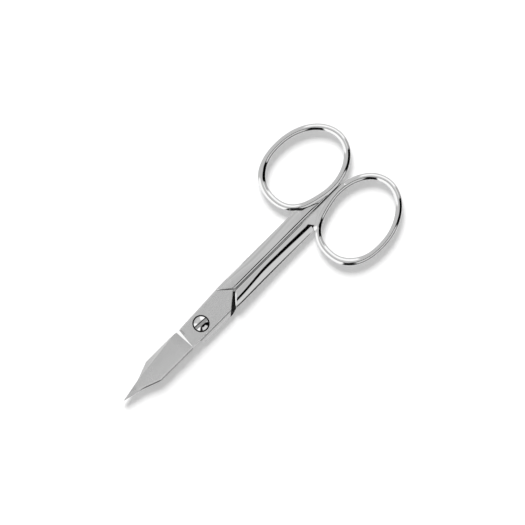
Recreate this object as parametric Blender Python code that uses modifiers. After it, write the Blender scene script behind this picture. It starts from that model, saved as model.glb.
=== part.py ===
"""Nail scissors: two forged halves turning on one slotted pivot screw.

Metres, +Z up. The pivot axis is the world's Z axis, the blades point to -Y and the finger
rings to +Y. Z = 0 is the flat back of the joint, where the screw's end is flush.

Each half is shaped in its own frame: its origin is on the pivot axis in the joint plane, its
ring and its cutting edge are on its -X side, and its blade lies above the joint plane. The
lower half is the same forging turned over about its long axis.
"""

import math

import bmesh
import bpy
from mathutils import Matrix, Vector

# Blade, measured from the pivot
BLADE_REACH = 0.0286
EDGE_SIDE_WIDTH = 0.00308  # axis to cutting edge
EDGE_SHOULDER_REACH = 0.0172  # where the cutting edge starts to slant in
EDGE_WAIST_REACH = 0.0213  # where the slant eases into the long point
EDGE_WAIST_WIDTH = 0.00134
SPINE_SIDE_WIDTH = 0.0029  # axis to the straight back of the blade
SPINE_SHOULDER_REACH = 0.0177
SPINE_WAIST_REACH = 0.0221
SPINE_WAIST_WIDTH = 0.00152
EDGE_THICKNESS = 0.00012  # left on the cutting edge
EDGE_BEVEL_WIDTH = 0.0013  # bevel's width at the blade's shoulder
EDGE_BEVEL_START = 0.0008  # from the ground step to the bevel's heel
FACE_STEP_REACH = 0.0057  # the ground step between ricasso and blade
FACE_STEP_DEPTH = 0.00085  # the step's depth on the edge side
FACE_STEP_SKEW = math.radians(4.0)
FACE_STEP_ANGLE = math.radians(45.0)
POINT_THICKNESS = 0.00045
HOLLOW_DEPTH = 0.00014
HOLLOW_EDGE_MARGIN = 0.0007
HOLLOW_START = 0.0012  # how far the hollow runs behind the ground step
HOLLOW_PAST_SHOULDER = 0.0015

# Joint
RICASSO_THICKNESS = 0.0016
JOINT_CLEARANCE = 0.0002
RICASSO_FRONT_WIDTH = 0.00295  # axis to the forged side, at the blade
RICASSO_BACK_WIDTH = 0.00357  # axis to the forged side, at the shoulder
LOWER_EAR_WIDTH = 0.00425  # axis to the lower half's wider ear beside the pivot
LOWER_EAR_FRONT = -0.0023
EAR_RUN_OUT = 0.0013
SHOULDER_ANGLE = math.radians(52.5)
SHOULDER_REACH = 0.0128  # pivot to the lap shoulder, along the seam
SHOULDER_GAP = 0.00068
RICASSO_LAND = 0.0003  # how far the ground flat runs past the lap shoulder

# Shank
SHANK_WIDTH = 0.00364
SHANK_NECK_WIDTH = 0.00348  # where the shank meets the ring
SHANK_HALF_HEIGHT = 0.0020
SHANK_NECK_HALF_HEIGHT = 0.0018
SEAM_CLEARANCE = 0.0002  # between the closed shanks
SEAM_FACET_WIDTH = 0.0008
SEAM_FACET_DROP = 0.0007
SEAM_FACET_FALL = 0.00005  # how far the facet's far side lies below the crest
CREST_FROM_SEAM = 0.00135
SHANK_SIDE_POWER = 2.3
# Where the bar is narrow, no more than these shares of its width or height
FACET_WIDTH_SHARE = 0.3
FACET_DROP_SHARE = 0.5
CREST_SHARE = 0.45

# Finger ring
RING_REACH = 0.0611  # pivot to the far end of the upper ring
LOWER_RING_EXTRA_REACH = 0.0004
RING_LENGTH = 0.0259
RING_BREADTH = 0.0194
RING_LEAN = math.radians(8.0)  # towards the seam at the far end
RING_WIRE_WIDTH = 0.0016
RING_HALF_HEIGHT = 0.0015
TAIL_PAST_NEAREST = math.radians(16.0)  # how far along the ring the shank's tail runs
TAIL_HEIGHT_SHARE = 0.8  # of the ring's height
TAIL_SINK_SHARE = 0.2  # last part of the tail, which sinks into the wire

# Pivot screw
SCREW_RADIUS = 0.0011
SCREW_RUNNING_CLEARANCE = 0.0001
SCREW_HEAD_RADIUS = 0.0019
SCREW_RECESS_CLEARANCE = 0.00035
SCREW_RECESS_DEPTH = 0.0007
SCREW_SEAT_CLEARANCE = 0.0001
SCREW_HEAD_RIM = 0.00048
SCREW_DOME_RISE = 0.00045
SCREW_SLOT_WIDTH = 0.0010
SCREW_SLOT_DEPTH = 0.00055
SCREW_SLOT_TURN = math.radians(-4.0)
SCREW_END_CHAMFER = 0.00012

# Faceting
SECTION_SIDE_POINTS = 10
SHANK_SECTIONS = 12
EAR_STATIONS = 5
TAIL_SECTIONS = 9
RING_STEPS = 72
RING_SECTION_STEPS = 16
ROUND_STEPS = 48
DOME_STEPS = 8
HOLLOW_STEPS = 36
WELD = 1e-6
SHARP_ANGLE = math.radians(32.0)

JOINT_PLANE = RICASSO_THICKNESS + JOINT_CLEARANCE / 2
LAP_LEVEL = JOINT_CLEARANCE / 2  # a half's inner face above the joint plane
RICASSO_LEVEL = LAP_LEVEL + RICASSO_THICKNESS
RICASSO_TOP = JOINT_PLANE + RICASSO_LEVEL
SEAM_SIDE = SEAM_CLEARANCE / 2
SHOULDER_SLOPE = math.tan(SHOULDER_ANGLE)
BEYOND = 0.004  # how far a cutter reaches past what it cuts
GRINDING_STOCK = 0.0002  # left on the plate for the flat to take off
PLATE_INTO_BAR = 0.0006  # how far plate and bar run into each other by the step
BAR_INTO_BLADE = 0.0015

STEEL_COLOUR = (0.72, 0.72, 0.73, 1.0)
STEEL_ROUGHNESS = 0.2
SCREW_COLOUR = (0.80, 0.80, 0.81, 1.0)
SCREW_ROUGHNESS = 0.12


def clear_scene():
    for obj in list(bpy.data.objects):
        bpy.data.objects.remove(obj, do_unlink=True)


def make_collection(name, hidden=False):
    collection = bpy.data.collections.new(name)
    bpy.context.scene.collection.children.link(collection)
    collection.hide_render = hidden
    return collection


def make_material(name, colour, roughness):
    material = bpy.data.materials.new(name)
    material.use_nodes = True
    shader = material.node_tree.nodes["Principled BSDF"]
    shader.inputs["Base Color"].default_value = colour
    shader.inputs["Metallic"].default_value = 1.0
    shader.inputs["Roughness"].default_value = roughness
    return material


def make_object(name, mesh, collection):
    obj = bpy.data.objects.new(name, mesh)
    collection.objects.link(obj)
    return obj


def make_cutter(name, mesh):
    cutter = make_object(name, mesh, CUTTERS)
    cutter.hide_render = True
    cutter.display_type = "WIRE"
    return cutter


def mesh_of(name, bm):
    bmesh.ops.recalc_face_normals(bm, faces=bm.faces)
    mesh = bpy.data.meshes.new(name)
    bm.to_mesh(mesh)
    bm.free()
    return mesh


def loft(name, sections):
    """A closed body through sections that all have the same number of points."""
    bm = bmesh.new()
    rings = [[bm.verts.new(point) for point in section] for section in sections]
    for near, far in zip(rings, rings[1:]):
        for i in range(len(near)):
            j = (i + 1) % len(near)
            bm.faces.new((near[i], near[j], far[j], far[i]))
    bm.faces.new(reversed(rings[0]))
    bm.faces.new(rings[-1])
    return mesh_of(name, bm)


def plate(name, outline, low, high):
    """A flat outline made as thick as low to high."""
    curve = bpy.data.curves.new(name, "CURVE")
    curve.dimensions = "2D"
    curve.fill_mode = "BOTH"
    curve.extrude = (high - low) / 2
    spline = curve.splines.new("POLY")
    spline.points.add(len(outline) - 1)
    for point, (x, y) in zip(spline.points, outline):
        point.co = (x, y, 0.0, 1.0)
    spline.use_cyclic_u = True
    drawn = make_object(name + "_outline", curve, CUTTERS)
    drawn.location.z = (high + low) / 2
    bpy.context.view_layer.update()
    graph = bpy.context.evaluated_depsgraph_get()
    mesh = bpy.data.meshes.new_from_object(drawn.evaluated_get(graph))
    mesh.transform(drawn.matrix_world)
    bpy.data.objects.remove(drawn, do_unlink=True)
    bm = bmesh.new()
    bm.from_mesh(mesh)
    bpy.data.meshes.remove(mesh)
    bmesh.ops.remove_doubles(bm, verts=bm.verts, dist=WELD)
    return mesh_of(name, bm)


def cylinder(name, radius, low, high):
    bm = bmesh.new()
    bmesh.ops.create_cone(
        bm, cap_ends=True, segments=ROUND_STEPS, radius1=radius, radius2=radius, depth=high - low
    )
    bmesh.ops.translate(bm, verts=bm.verts, vec=(0.0, 0.0, (high + low) / 2))
    return mesh_of(name, bm)


def add_boolean(obj, other, operation):
    modifier = obj.modifiers.new(other.name, "BOOLEAN")
    modifier.operation = operation
    modifier.solver = "EXACT"
    modifier.object = other


def settle(obj, material):
    """Keeps the evaluated shape as the object's own mesh, smooth on its round parts."""
    bpy.context.view_layer.update()
    graph = bpy.context.evaluated_depsgraph_get()
    mesh = bpy.data.meshes.new_from_object(obj.evaluated_get(graph))
    obj.modifiers.clear()
    obj.data = mesh
    mesh.name = obj.name
    mesh.materials.clear()
    mesh.materials.append(material)
    mesh.shade_smooth()
    mesh.set_sharp_from_angle(angle=SHARP_ANGLE)


def smooth_step(share):
    share = min(max(share, 0.0), 1.0)
    return share * share * (3.0 - 2.0 * share)


class Ring:
    """The leaning ellipse that one finger ring's wire follows, in the half's own frame."""

    def __init__(self, reach):
        self.long = (RING_LENGTH - RING_WIRE_WIDTH * RING_LENGTH / RING_BREADTH) / 2
        self.short = (RING_BREADTH - RING_WIRE_WIDTH) / 2
        outer_long = RING_LENGTH / 2
        outer_short = RING_BREADTH / 2
        half_x = math.hypot(outer_short * math.cos(RING_LEAN), outer_long * math.sin(RING_LEAN))
        half_y = math.hypot(outer_short * math.sin(RING_LEAN), outer_long * math.cos(RING_LEAN))
        self.centre = Vector((-SEAM_SIDE - half_x, reach - half_y, 0.0))

    def point(self, turn):
        """The wire's middle; turn 0 is on the seam side and rises towards the far end."""
        x = self.short * math.cos(turn)
        y = self.long * math.sin(turn)
        lean = Matrix.Rotation(-RING_LEAN, 3, "Z")
        return self.centre + lean @ Vector((x, y, 0.0))

    def turn_at_depth(self, depth):
        """The turn, before the wire's nearest point, at which it lies this far from the seam."""
        along = self.short * math.cos(RING_LEAN)
        across = self.long * math.sin(RING_LEAN)
        reach = math.hypot(along, across)
        nearest = math.atan2(across, along)
        return nearest - math.acos(min(max((-depth - self.centre.x) / reach, -1.0), 1.0))

    def nearest_turn(self):
        return math.atan2(self.long * math.sin(RING_LEAN), self.short * math.cos(RING_LEAN))


def ring_mesh(name, ring):
    bpy.ops.mesh.primitive_torus_add(
        major_segments=RING_STEPS,
        minor_segments=RING_SECTION_STEPS,
        major_radius=ring.short,
        minor_radius=RING_WIRE_WIDTH / 2,
    )
    torus = bpy.context.object
    mesh = torus.data
    mesh.name = name
    bpy.data.objects.remove(torus, do_unlink=True)
    rise = RING_HALF_HEIGHT / (RING_WIRE_WIDTH / 2)
    stretch = Matrix.Diagonal((1.0, ring.long / ring.short, rise, 1.0))
    lean = Matrix.Rotation(-RING_LEAN, 4, "Z")
    mesh.transform(Matrix.Translation(ring.centre) @ lean @ stretch)
    return mesh


def bar_section(y, inner, width, half_height):
    """The forged D-shaped section: a facet along the seam, a crest, and a rounded outer side."""
    span = width - inner
    facet = min(SEAM_FACET_WIDTH, FACET_WIDTH_SHARE * span)
    drop = min(SEAM_FACET_DROP, FACET_DROP_SHARE * half_height)
    crest = min(CREST_FROM_SEAM, CREST_SHARE * span)
    profile = [(inner, half_height - drop), (inner + facet, half_height - SEAM_FACET_FALL)]
    for i in range(SECTION_SIDE_POINTS + 1):
        turn = math.pi / 2 * i / SECTION_SIDE_POINTS
        across = math.sin(turn) ** (2 / SHANK_SIDE_POWER)
        up = math.cos(turn) ** (2 / SHANK_SIDE_POWER) if i < SECTION_SIDE_POINTS else 0.0
        profile.append((inner + crest + (span - crest) * across, half_height * up))
    upper = [Vector((-u, y, z)) for u, z in profile]
    lower = [Vector((-u, y, -z)) for u, z in reversed(profile[:-1])]
    return upper + lower


def shoulder_line(x, reach):
    """How far back a shoulder lies that slants forward from the seam."""
    return reach - SHOULDER_SLOPE * abs(x)


def bar_sides(neck, eared):
    """Stations along the bar, each with the width from the axis to its forged outer side."""
    heel = -FACE_STEP_REACH
    back = shoulder_line(RICASSO_BACK_WIDTH, SHOULDER_REACH)
    slope = (RICASSO_BACK_WIDTH - RICASSO_FRONT_WIDTH) / (back - heel)
    stations = [(heel - BAR_INTO_BLADE, RICASSO_FRONT_WIDTH), (heel, RICASSO_FRONT_WIDTH)]
    if eared:
        ear_back = shoulder_line(LOWER_EAR_WIDTH, SHOULDER_REACH)
        beside = RICASSO_FRONT_WIDTH + slope * (LOWER_EAR_FRONT - EAR_RUN_OUT - heel)
        for i in range(EAR_STATIONS + 1):
            share = i / EAR_STATIONS
            width = beside + (LOWER_EAR_WIDTH - beside) * smooth_step(share)
            stations.append((LOWER_EAR_FRONT - EAR_RUN_OUT * (1.0 - share), width))
        for i in range(EAR_STATIONS + 1):
            share = i / EAR_STATIONS
            width = LOWER_EAR_WIDTH + (SHANK_WIDTH - LOWER_EAR_WIDTH) * smooth_step(share)
            stations.append((ear_back + 2 * EAR_RUN_OUT * share, width))
    else:
        stations += [(back, RICASSO_BACK_WIDTH), (SHOULDER_REACH, SHANK_WIDTH)]
    root = stations[-1][0]
    for i in range(1, SHANK_SECTIONS):
        share = i / SHANK_SECTIONS
        width = SHANK_WIDTH + (SHANK_NECK_WIDTH - SHANK_WIDTH) * share
        stations.append((root + (neck - root) * share, width))
    return stations


def bar_mesh(name, ring, eared):
    """The forged bar: ricasso side, shank, and the tail that runs out along the ring."""
    start = ring.turn_at_depth(SHANK_NECK_WIDTH)
    neck = ring.point(start).y
    sections = []
    for y, width in bar_sides(neck, eared):
        share = min(max((y - SHOULDER_REACH) / (neck - SHOULDER_REACH), 0.0), 1.0)
        half_height = SHANK_HALF_HEIGHT + (SHANK_NECK_HALF_HEIGHT - SHANK_HALF_HEIGHT) * share
        sections.append(bar_section(y, SEAM_SIDE, width, half_height))
    end = ring.nearest_turn() + TAIL_PAST_NEAREST
    tail_half_height = TAIL_HEIGHT_SHARE * RING_HALF_HEIGHT
    for i in range(TAIL_SECTIONS + 1):
        share = i / TAIL_SECTIONS
        middle = ring.point(start + (end - start) * share)
        half_height = SHANK_NECK_HALF_HEIGHT + (tail_half_height - SHANK_NECK_HALF_HEIGHT) * share
        sunk = smooth_step((share - 1.0 + TAIL_SINK_SHARE) / TAIL_SINK_SHARE)
        inner = SEAM_SIDE + sunk * RING_WIRE_WIDTH / 2
        sections.append(bar_section(middle.y, inner, -middle.x, half_height))
    return loft(name, sections)


def blade_outline():
    """Plan of the flat-ground plate: long point, blade, ricasso and its slanted lap end."""
    lap_end = SHOULDER_REACH - SHOULDER_GAP / math.cos(SHOULDER_ANGLE)
    flat_end = SHOULDER_REACH + RICASSO_LAND
    apex = (flat_end - lap_end) / (2 * SHOULDER_SLOPE)  # where the two slanted ends cross
    inside = CREST_FROM_SEAM
    return [
        (0.0, -BLADE_REACH),
        (SPINE_WAIST_WIDTH, -SPINE_WAIST_REACH),
        (SPINE_SIDE_WIDTH, -SPINE_SHOULDER_REACH),
        (SPINE_SIDE_WIDTH, shoulder_line(SPINE_SIDE_WIDTH, lap_end)),
        (-apex, lap_end + SHOULDER_SLOPE * apex),
        (-inside, shoulder_line(inside, flat_end)),
        (-inside, -FACE_STEP_REACH + PLATE_INTO_BAR),
        (-RICASSO_FRONT_WIDTH, -FACE_STEP_REACH - PLATE_INTO_BAR),
        (-EDGE_SIDE_WIDTH, -FACE_STEP_REACH - 4 * PLATE_INTO_BAR),
        (-EDGE_SIDE_WIDTH, -EDGE_SHOULDER_REACH),
        (-EDGE_WAIST_WIDTH, -EDGE_WAIST_REACH),
    ]


def lap_outline(reach):
    """Everything in front of a shoulder that slants forward from the seam."""
    side = LOWER_EAR_WIDTH + BEYOND
    front = -BLADE_REACH - BEYOND
    slanted_end = (-side, shoulder_line(side, reach))
    return [(-side, front), (side, front), (side, reach), (0.0, reach), slanted_end]


def face_plane_slopes():
    """How the blade's outer face falls towards the edge and towards the point."""
    across = FACE_STEP_DEPTH / (SPINE_SIDE_WIDTH + EDGE_SIDE_WIDTH)
    middle = RICASSO_LEVEL - across * SPINE_SIDE_WIDTH
    along = (middle - LAP_LEVEL - POINT_THICKNESS) / (BLADE_REACH - FACE_STEP_REACH)
    return across, along


def face_height(x, y):
    across, along = face_plane_slopes()
    return RICASSO_LEVEL - across * (SPINE_SIDE_WIDTH - x) + along * (y + FACE_STEP_REACH)


def face_cutter_mesh(name):
    """What the wheel takes off over the blade, up to the slanted step at the ricasso."""
    side = EDGE_SIDE_WIDTH + BEYOND
    front = -BLADE_REACH - BEYOND
    skew = math.tan(FACE_STEP_SKEW)
    lean = 1.0 / math.tan(FACE_STEP_ANGLE)
    top = RICASSO_LEVEL + BEYOND
    sections = []
    for x in (-side, side):
        step = -FACE_STEP_REACH + skew * (x - SPINE_SIDE_WIDTH)
        foot = face_height(x, step)
        sections.append(
            [
                Vector((x, front, face_height(x, front))),
                Vector((x, step, foot)),
                Vector((x, step + (top - foot) * lean, top)),
                Vector((x, front, top)),
            ]
        )
    return loft(name, sections)


def bevel_cutter_mesh(name):
    """What the wheel takes off for the cutting edge's bevel, which widens towards the point."""
    shoulder = -EDGE_SHOULDER_REACH
    start = -FACE_STEP_REACH - EDGE_BEVEL_START
    edge = Vector((-EDGE_SIDE_WIDTH, shoulder, LAP_LEVEL + EDGE_THICKNESS))
    inner_x = -EDGE_SIDE_WIDTH + EDGE_BEVEL_WIDTH
    inner = Vector((inner_x, shoulder, face_height(inner_x, shoulder)))
    heel = Vector((-EDGE_SIDE_WIDTH, start, face_height(-EDGE_SIDE_WIDTH, start)))
    normal = (inner - edge).cross(heel - edge).normalized()

    def height(x, y):
        return edge.z - (normal.x * (x - edge.x) + normal.y * (y - edge.y)) / normal.z

    front = -BLADE_REACH - BEYOND
    top = RICASSO_LEVEL + BEYOND
    sections = []
    for y in (front, start):
        sections.append(
            [
                Vector((-EDGE_SIDE_WIDTH - BEYOND, y, height(-EDGE_SIDE_WIDTH - BEYOND, y))),
                Vector((0.0, y, height(0.0, y))),
                Vector((0.0, y, top)),
                Vector((-EDGE_SIDE_WIDTH - BEYOND, y, top)),
            ]
        )
    return loft(name, sections)


def hollow_cutter_mesh(name):
    """A shallow scoop in the blade's inner face, so that only its edges meet."""
    cap_level = 0.82  # the scoop is the cap above this share of the ellipsoid's half height
    rim = math.sqrt(1.0 - cap_level**2)
    half_height = HOLLOW_DEPTH / (1.0 - cap_level)
    back = -FACE_STEP_REACH + HOLLOW_START
    front = -EDGE_SHOULDER_REACH - HOLLOW_PAST_SHOULDER
    left = -EDGE_SIDE_WIDTH + HOLLOW_EDGE_MARGIN
    right = SPINE_SIDE_WIDTH - HOLLOW_EDGE_MARGIN
    bm = bmesh.new()
    bmesh.ops.create_uvsphere(bm, u_segments=HOLLOW_STEPS, v_segments=HOLLOW_STEPS, radius=1.0)
    size = ((right - left) / 2 / rim, (back - front) / 2 / rim, half_height)
    bmesh.ops.scale(bm, verts=bm.verts, vec=size)
    centre = ((left + right) / 2, (back + front) / 2, LAP_LEVEL + HOLLOW_DEPTH - half_height)
    bmesh.ops.translate(bm, verts=bm.verts, vec=centre)
    return mesh_of(name, bm)


def make_half(name, ring_reach, eared, recessed):
    """One forging with its ground faces and pivot hole, in the half's own frame."""
    ring = Ring(ring_reach)
    half = make_object(name, bar_mesh(name, ring, eared), PARTS)
    slab = plate(name + "_slab", blade_outline(), -LAP_LEVEL, RICASSO_LEVEL + GRINDING_STOCK)
    add_boolean(half, make_cutter(name + "_slab", slab), "UNION")
    add_boolean(half, make_cutter(name + "_ring", ring_mesh(name + "_ring", ring)), "UNION")
    below = -SHANK_HALF_HEIGHT - BEYOND
    above = SHANK_HALF_HEIGHT + BEYOND
    lap = plate(name + "_lap", lap_outline(SHOULDER_REACH), below, LAP_LEVEL)
    flat = plate(name + "_flat", lap_outline(SHOULDER_REACH + RICASSO_LAND), RICASSO_LEVEL, above)
    hole_radius = SCREW_RADIUS + SCREW_RUNNING_CLEARANCE
    cuts = {
        "lap": lap,
        "flat": flat,
        "face": face_cutter_mesh(name + "_face"),
        "bevel": bevel_cutter_mesh(name + "_bevel"),
        "hollow": hollow_cutter_mesh(name + "_hollow"),
        "hole": cylinder(name + "_hole", hole_radius, below, above),
    }
    if recessed:
        recess_radius = SCREW_HEAD_RADIUS + SCREW_RECESS_CLEARANCE
        floor = RICASSO_LEVEL - SCREW_RECESS_DEPTH
        cuts["recess"] = cylinder(name + "_recess", recess_radius, floor, above)
    for kind, mesh in cuts.items():
        add_boolean(half, make_cutter(name + "_" + kind, mesh), "DIFFERENCE")
    return half


def screw_profile():
    """Outer side of the screw from the dome's top down to the end, as (radius, height)."""
    seat = RICASSO_TOP - SCREW_RECESS_DEPTH + SCREW_SEAT_CLEARANCE
    rim = seat + SCREW_HEAD_RIM
    points = []
    for i in range(DOME_STEPS + 1):
        turn = math.pi / 2 * i / DOME_STEPS
        points.append((SCREW_HEAD_RADIUS * math.sin(turn), rim + SCREW_DOME_RISE * math.cos(turn)))
    points += [
        (SCREW_HEAD_RADIUS, seat),
        (SCREW_RADIUS, seat),
        (SCREW_RADIUS, SCREW_END_CHAMFER),
        (SCREW_RADIUS - SCREW_END_CHAMFER, 0.0),
        (0.0, 0.0),
    ]
    return points


def make_screw():
    mesh = bpy.data.meshes.new("pivot_screw")
    points = [(radius, 0.0, height) for radius, height in screw_profile()]
    mesh.from_pydata(points, [(i, i + 1) for i in range(len(points) - 1)], [])
    screw = make_object("pivot_screw", mesh, PARTS)
    turned = screw.modifiers.new("turned", "SCREW")
    turned.axis = "Z"
    turned.steps = ROUND_STEPS
    turned.render_steps = ROUND_STEPS
    turned.use_merge_vertices = True
    turned.merge_threshold = WELD
    rim = RICASSO_TOP - SCREW_RECESS_DEPTH + SCREW_SEAT_CLEARANCE + SCREW_HEAD_RIM
    bottom = rim + SCREW_DOME_RISE - SCREW_SLOT_DEPTH
    bm = bmesh.new()
    size = (SCREW_SLOT_WIDTH, 4 * SCREW_HEAD_RADIUS, 2 * BEYOND)
    bmesh.ops.create_cube(bm, size=1.0)
    bmesh.ops.scale(bm, verts=bm.verts, vec=size)
    slot = make_cutter("slot", mesh_of("slot", bm))
    slot.location.z = bottom + BEYOND
    slot.rotation_euler.z = SCREW_SLOT_TURN
    add_boolean(screw, slot, "DIFFERENCE")
    return screw


clear_scene()
PARTS = make_collection("nail_scissors")
CUTTERS = make_collection("cutters", hidden=True)

upper_half = make_half("upper_half", RING_REACH, eared=False, recessed=True)
lower_reach = RING_REACH + LOWER_RING_EXTRA_REACH
lower_half = make_half("lower_half", lower_reach, eared=True, recessed=False)
pivot_screw = make_screw()

settle(upper_half, make_material("upper_steel", STEEL_COLOUR, STEEL_ROUGHNESS))
settle(lower_half, make_material("lower_steel", STEEL_COLOUR, STEEL_ROUGHNESS))
settle(pivot_screw, make_material("screw_steel", SCREW_COLOUR, SCREW_ROUGHNESS))

# The upper half hangs from an empty on the pivot axis, which turns it open about Z.
pivot_axis = bpy.data.objects.new("pivot_axis", None)
PARTS.objects.link(pivot_axis)
pivot_axis.location.z = JOINT_PLANE
upper_half.parent = pivot_axis
lower_half.location.z = JOINT_PLANE
lower_half.rotation_euler.y = math.pi
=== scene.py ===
"""Looks of the nail scissors: fine meshes, steel materials, studio light and camera.

Sizes are in millimetres until a mesh is made. Each half is shaped in its own frame, with the
pivot axis at the origin, z = 0 in the joint plane, its ring and cutting edge on its -X side.
A pair that is called a span holds the two values between which something changes.
"""

import math

import bmesh
import bpy
import numpy as np
from mathutils import Matrix, Vector
from mathutils.bvhtree import BVHTree


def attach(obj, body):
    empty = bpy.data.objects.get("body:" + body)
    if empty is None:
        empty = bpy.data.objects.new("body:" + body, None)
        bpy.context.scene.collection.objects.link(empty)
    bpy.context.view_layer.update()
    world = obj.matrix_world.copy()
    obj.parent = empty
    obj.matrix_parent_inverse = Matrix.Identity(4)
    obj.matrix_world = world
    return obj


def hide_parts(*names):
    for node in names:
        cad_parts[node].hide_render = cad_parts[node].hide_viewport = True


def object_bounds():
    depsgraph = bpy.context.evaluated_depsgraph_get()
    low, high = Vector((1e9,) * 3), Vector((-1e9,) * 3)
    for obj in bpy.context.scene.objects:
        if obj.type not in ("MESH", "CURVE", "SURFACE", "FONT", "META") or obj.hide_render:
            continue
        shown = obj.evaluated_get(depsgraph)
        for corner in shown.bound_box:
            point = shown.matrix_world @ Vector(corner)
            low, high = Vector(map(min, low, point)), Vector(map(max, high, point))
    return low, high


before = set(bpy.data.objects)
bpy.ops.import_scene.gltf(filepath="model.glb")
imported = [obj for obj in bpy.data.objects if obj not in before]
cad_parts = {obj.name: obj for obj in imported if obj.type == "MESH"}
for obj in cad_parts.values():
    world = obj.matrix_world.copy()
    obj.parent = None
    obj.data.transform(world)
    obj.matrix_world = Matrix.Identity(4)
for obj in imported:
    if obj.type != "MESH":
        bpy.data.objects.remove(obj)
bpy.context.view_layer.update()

MM = 0.001

# Blade
BLADE_REACH = 28.59
EDGE_SIDE_WIDTH = 3.08
EDGE_SHOULDER_REACH = 17.2
EDGE_WAIST_REACH = 21.3
EDGE_WAIST_WIDTH = 1.34
EDGE_HEEL_SPAN = (0.6, 2.4)  # in front of the ground step
SPINE_SIDE_WIDTH = 2.9
SPINE_SHOULDER_REACH = 17.7
SPINE_WAIST_REACH = 22.1
SPINE_WAIST_WIDTH = 1.27
LOWER_EDGE_SIDE_WIDTH = 3.22
LOWER_EDGE_SHOULDER_REACH = 17.8
LOWER_EDGE_WAIST_REACH = 22.1
LOWER_EDGE_WAIST_WIDTH = 1.6
LOWER_EDGE_HEEL_SPAN = (0.1, 0.7)
EDGE_THICKNESS = 0.12
EDGE_BEVEL_WIDTH = 1.3
EDGE_BEVEL_START = 0.8
FACE_STEP_REACH = 5.8
FACE_STEP_DEPTH = 0.85
FACE_STEP_SKEW = math.radians(4.0)
FACE_STEP_ANGLE = math.radians(40.0)
POINT_THICKNESS = 0.45
HOLLOW_DEPTH = 0.14
HOLLOW_EDGE_MARGIN = 0.7
HOLLOW_START = 1.2
HOLLOW_PAST_SHOULDER = 1.5
HOLLOW_CAP_LEVEL = 0.82  # where the hollow cuts its unit sphere

# Joint; a shoulder line is its reach at the seam and its slant
JOINT_CLEARANCE = 0.2
RICASSO_THICKNESS = 1.6
RICASSO_FRONT_WIDTH = 2.95
RICASSO_BACK_WIDTH = 3.57
RICASSO_LAND = 0.3
RICASSO_INSET = 0.07
RICASSO_SIDE_BEFORE_STEP = 1.5
RICASSO_SIDE_BACK = 13.8
LOWER_EAR_WIDTH = 4.25
LOWER_EAR_FRONT = -2.3
EAR_RUN_OUT = 1.3
EAR_BACK = 7.3
RICASSO_BACK_REACH = EAR_BACK + 0.8
UPPER_SHOULDER = (12.87, 1.176)
LOWER_SHOULDER = (12.38, 0.92)
LAP_END = (11.78, 1.187)
LAP_CORNER_RADIUS = 1.3
UPPER_SHOULDER_ROUNDING = 0.22
LOWER_SHOULDER_ROUNDING = 0.5
PLATE_ROUNDING = 0.14
PLATE_INSIDE = 1.2  # plate's hidden border under the bar, from the seam
PLATE_BEHIND_STEP = 0.6
SIDE_INSIDE = 1.0

# Shank
ROOT_REACH = 12.8
SHANK_WIDTH = 3.64
SHANK_NECK_WIDTH = 3.48
LOWER_EXTRA_WIDTH = 0.12
EXTRA_WIDTH_RUN_IN = 4.0
SEAM_SIDE = 0.1
WEB_SEAM_SIDE = 0.012
UPPER_CREST = 1.0
LOWER_CREST = 0.75
CREST_SHARE = 0.45  # where a narrow section has its crest
SEAM_ROUNDING_DROP = 0.42
ROOT_HALF_HEIGHT = 1.98
UPPER_NECK_HALF_HEIGHT = 0.88
LOWER_NECK_HALF_HEIGHT = 1.2
WEB_HALF_HEIGHT = 0.85
FALL_START = 20.0
UPPER_FALL_END = 38.0
WEB_FALL_SPAN = (-3.0, 2.0)  # from the neck
UPPER_ROOT_POWER = 4.6
LOWER_ROOT_POWER = 2.9
ROOT_POWER_SPAN = (11.0, 22.0)
WEB_POWER_RISE = 2.5
WEB_POWER_SPAN = (37.9, 39.2)
SLANT_FADE = 14.0
SECTION_MIDDLE = 1.5  # where a slanted section takes its width and height

# Rounded tops, which are flattened and stand on an upright wall
CROWN_SCALE = 0.7
WALL_HALF_HEIGHT = (1.0 - CROWN_SCALE) * ROOT_HALF_HEIGHT
WALL_DROP = 0.25
WALL_DROP_SPAN = (14.0, 30.0)
WALL_FOOT = 0.1
STEEPEST = 1.36
BAR_EDGE = 0.985
RING_EDGE = 0.92

# Ring; an arc is the angle of its middle and its reach, in degrees
RING_LENGTH = 25.9
RING_BREADTH = 19.4
RING_LEAN = math.radians(8.0)
RING_WIRE_WIDTH = 1.6
RING_SIDE_TRIM = 0.035
RING_HALF_HEIGHT = 1.2
RING_POWER = 2.2
RING_NEAR_EXTRA = 0.5
RING_NEAR_POWER = 2.15
RING_FAR_SWELL = 0.3
RING_LOW_SWELL = 0.3
RING_LOW_ARC = (238.0, 34.0)
RING_INNER_SWELL = 0.36
RING_INNER_ARC = (-85.0, 80.0)
RING_FORK_BULGE = 0.5
RING_FORK_ARC = (-45.0, 40.0)
UPPER_RING_REACH = 61.1
LOWER_RING_REACH = 61.5
TAIL_PAST_NEAREST = math.radians(16.0)
WEB_CLOSE_SHARE = 0.25
WEB_SINK_SHARE = 0.8
WEB_INSET = 0.2
UPPER_BLEND = 0.16
LOWER_BLEND = 0.7
BLEND_SPAN = (34.0, 52.0)

# Screw
SCREW_RADIUS = 1.1
HOLE_RADIUS = 1.2
HEAD_RADIUS = 1.9
RECESS_RADIUS = 2.25
RECESS_DEPTH = 0.7
SEAT_CLEARANCE = 0.1
HEAD_RIM = 0.61
RIM_ROUNDING = 0.08
DOME_RISE = 0.30
END_CHAMFER = 0.12
SLOT_WIDTH = 1.0
SLOT_DEPTH = 0.55
SLOT_TURN = math.radians(-4.0)

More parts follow.
